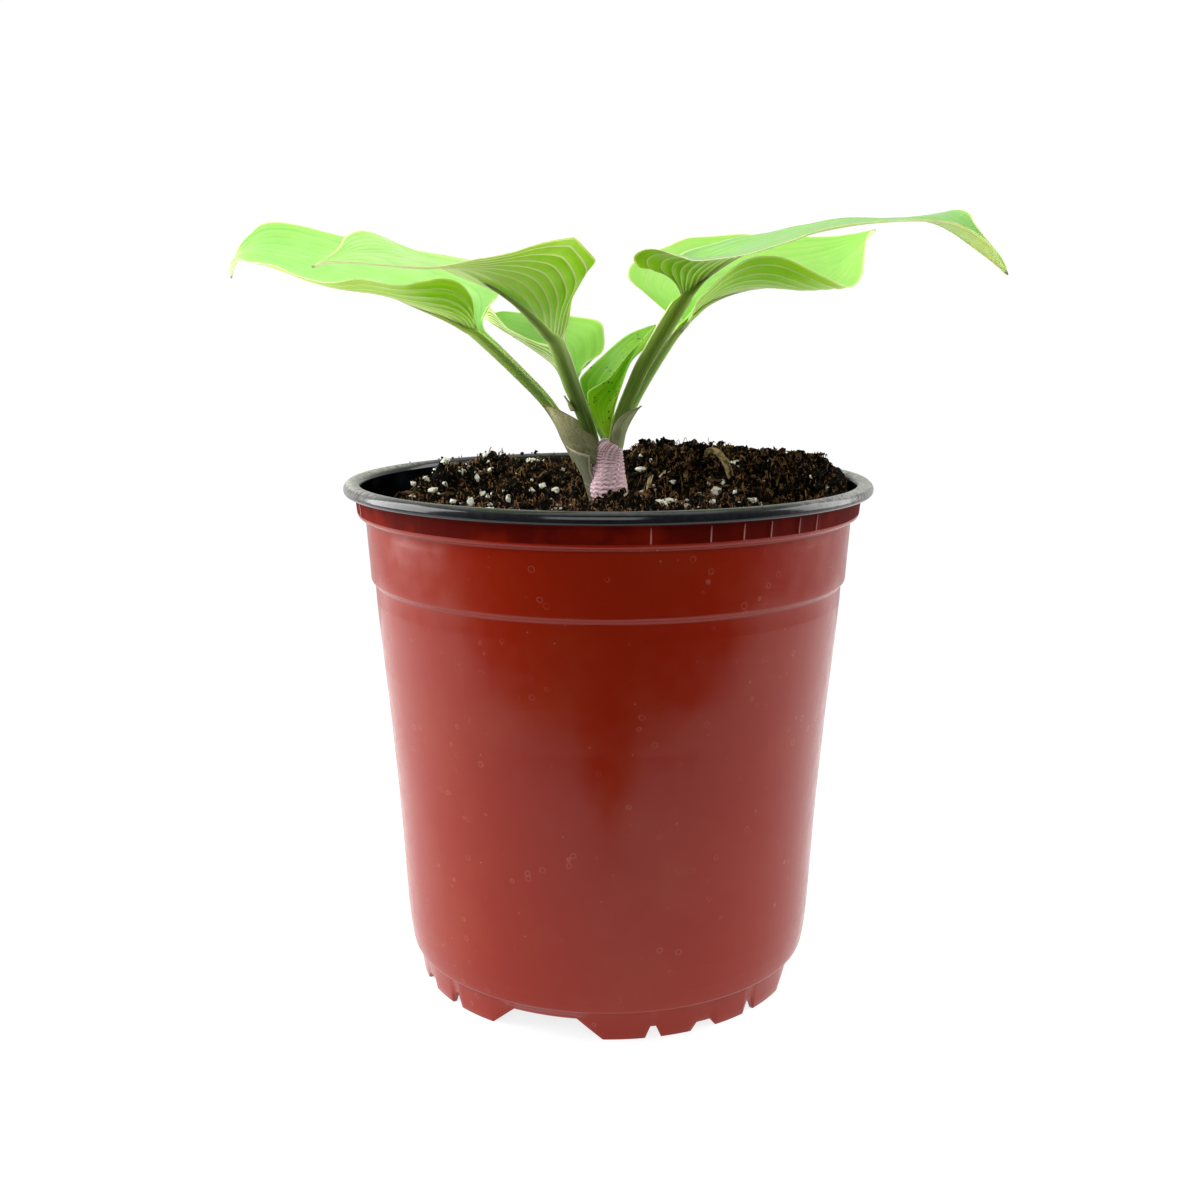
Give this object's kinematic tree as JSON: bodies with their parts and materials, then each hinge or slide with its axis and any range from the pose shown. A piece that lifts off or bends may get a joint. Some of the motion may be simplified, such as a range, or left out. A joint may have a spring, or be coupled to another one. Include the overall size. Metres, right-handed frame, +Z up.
{
  "type": "potted hosta plant",
  "caption": "Young hosta with broad cupped leaves on channelled stalks, growing in potting soil in a round nursery pot with a rolled rim.",
  "frame": {"origin": "the bottom centre of the whole object's box, on the surface that the pot stands on; the pot's own axis is 5.3 mm to its right", "axes": "+Z up, +X to the right and +Y to the back, as seen from the front"},
  "size_m": [0.2356, 0.165, 0.2403],
  "materials": {
    "pot": "thin thermoformed plastic, terracotta red outside, black rim and inside",
    "soil": "loose fibrous peat with fine bark",
    "root": "pale fleshy crown and roots",
    "leaf": "smooth young leaf with sunk parallel veins and a pale edge",
    "sheath": "wrinkled mauve bud sheath with fine pale streaks",
    "scale": "dry papery scale, grey-green to tan",
    "perlite": "matt white expanded mineral grains",
    "bark": "small rough bark chips",
    "straw": "dry plant fibre"
  },
  "bodies": {
    "root": {"bark_chip_1": "bark", "bark_chip_2": "bark", "bark_chip_3": "bark", "bark_chip_4": "bark", "bark_chip_5": "bark", "crown_with_roots": "root", "dead_stalk": "straw", "leaf_back": "leaf", "leaf_front": "leaf", "leaf_left": "leaf", "leaf_right": "leaf", "leaf_small": "leaf", "leaf_young": "leaf", "perlite_1": "perlite", "perlite_10": "perlite", "perlite_11": "perlite", "perlite_12": "perlite", "perlite_13": "perlite", "perlite_14": "perlite", "perlite_15": "perlite", "perlite_16": "perlite", "perlite_2": "perlite", "perlite_3": "perlite", "perlite_4": "perlite", "perlite_5": "perlite", "perlite_6": "perlite", "perlite_7": "perlite", "perlite_8": "perlite", "perlite_9": "perlite", "pot": "pot", "potting_soil": "soil", "scale_green": "scale", "scale_left": "scale", "scale_right": "scale", "sheath_front": "sheath", "sheath_left": "scale", "straw_1": "straw", "straw_2": "straw"}
  },
  "joints": []
}
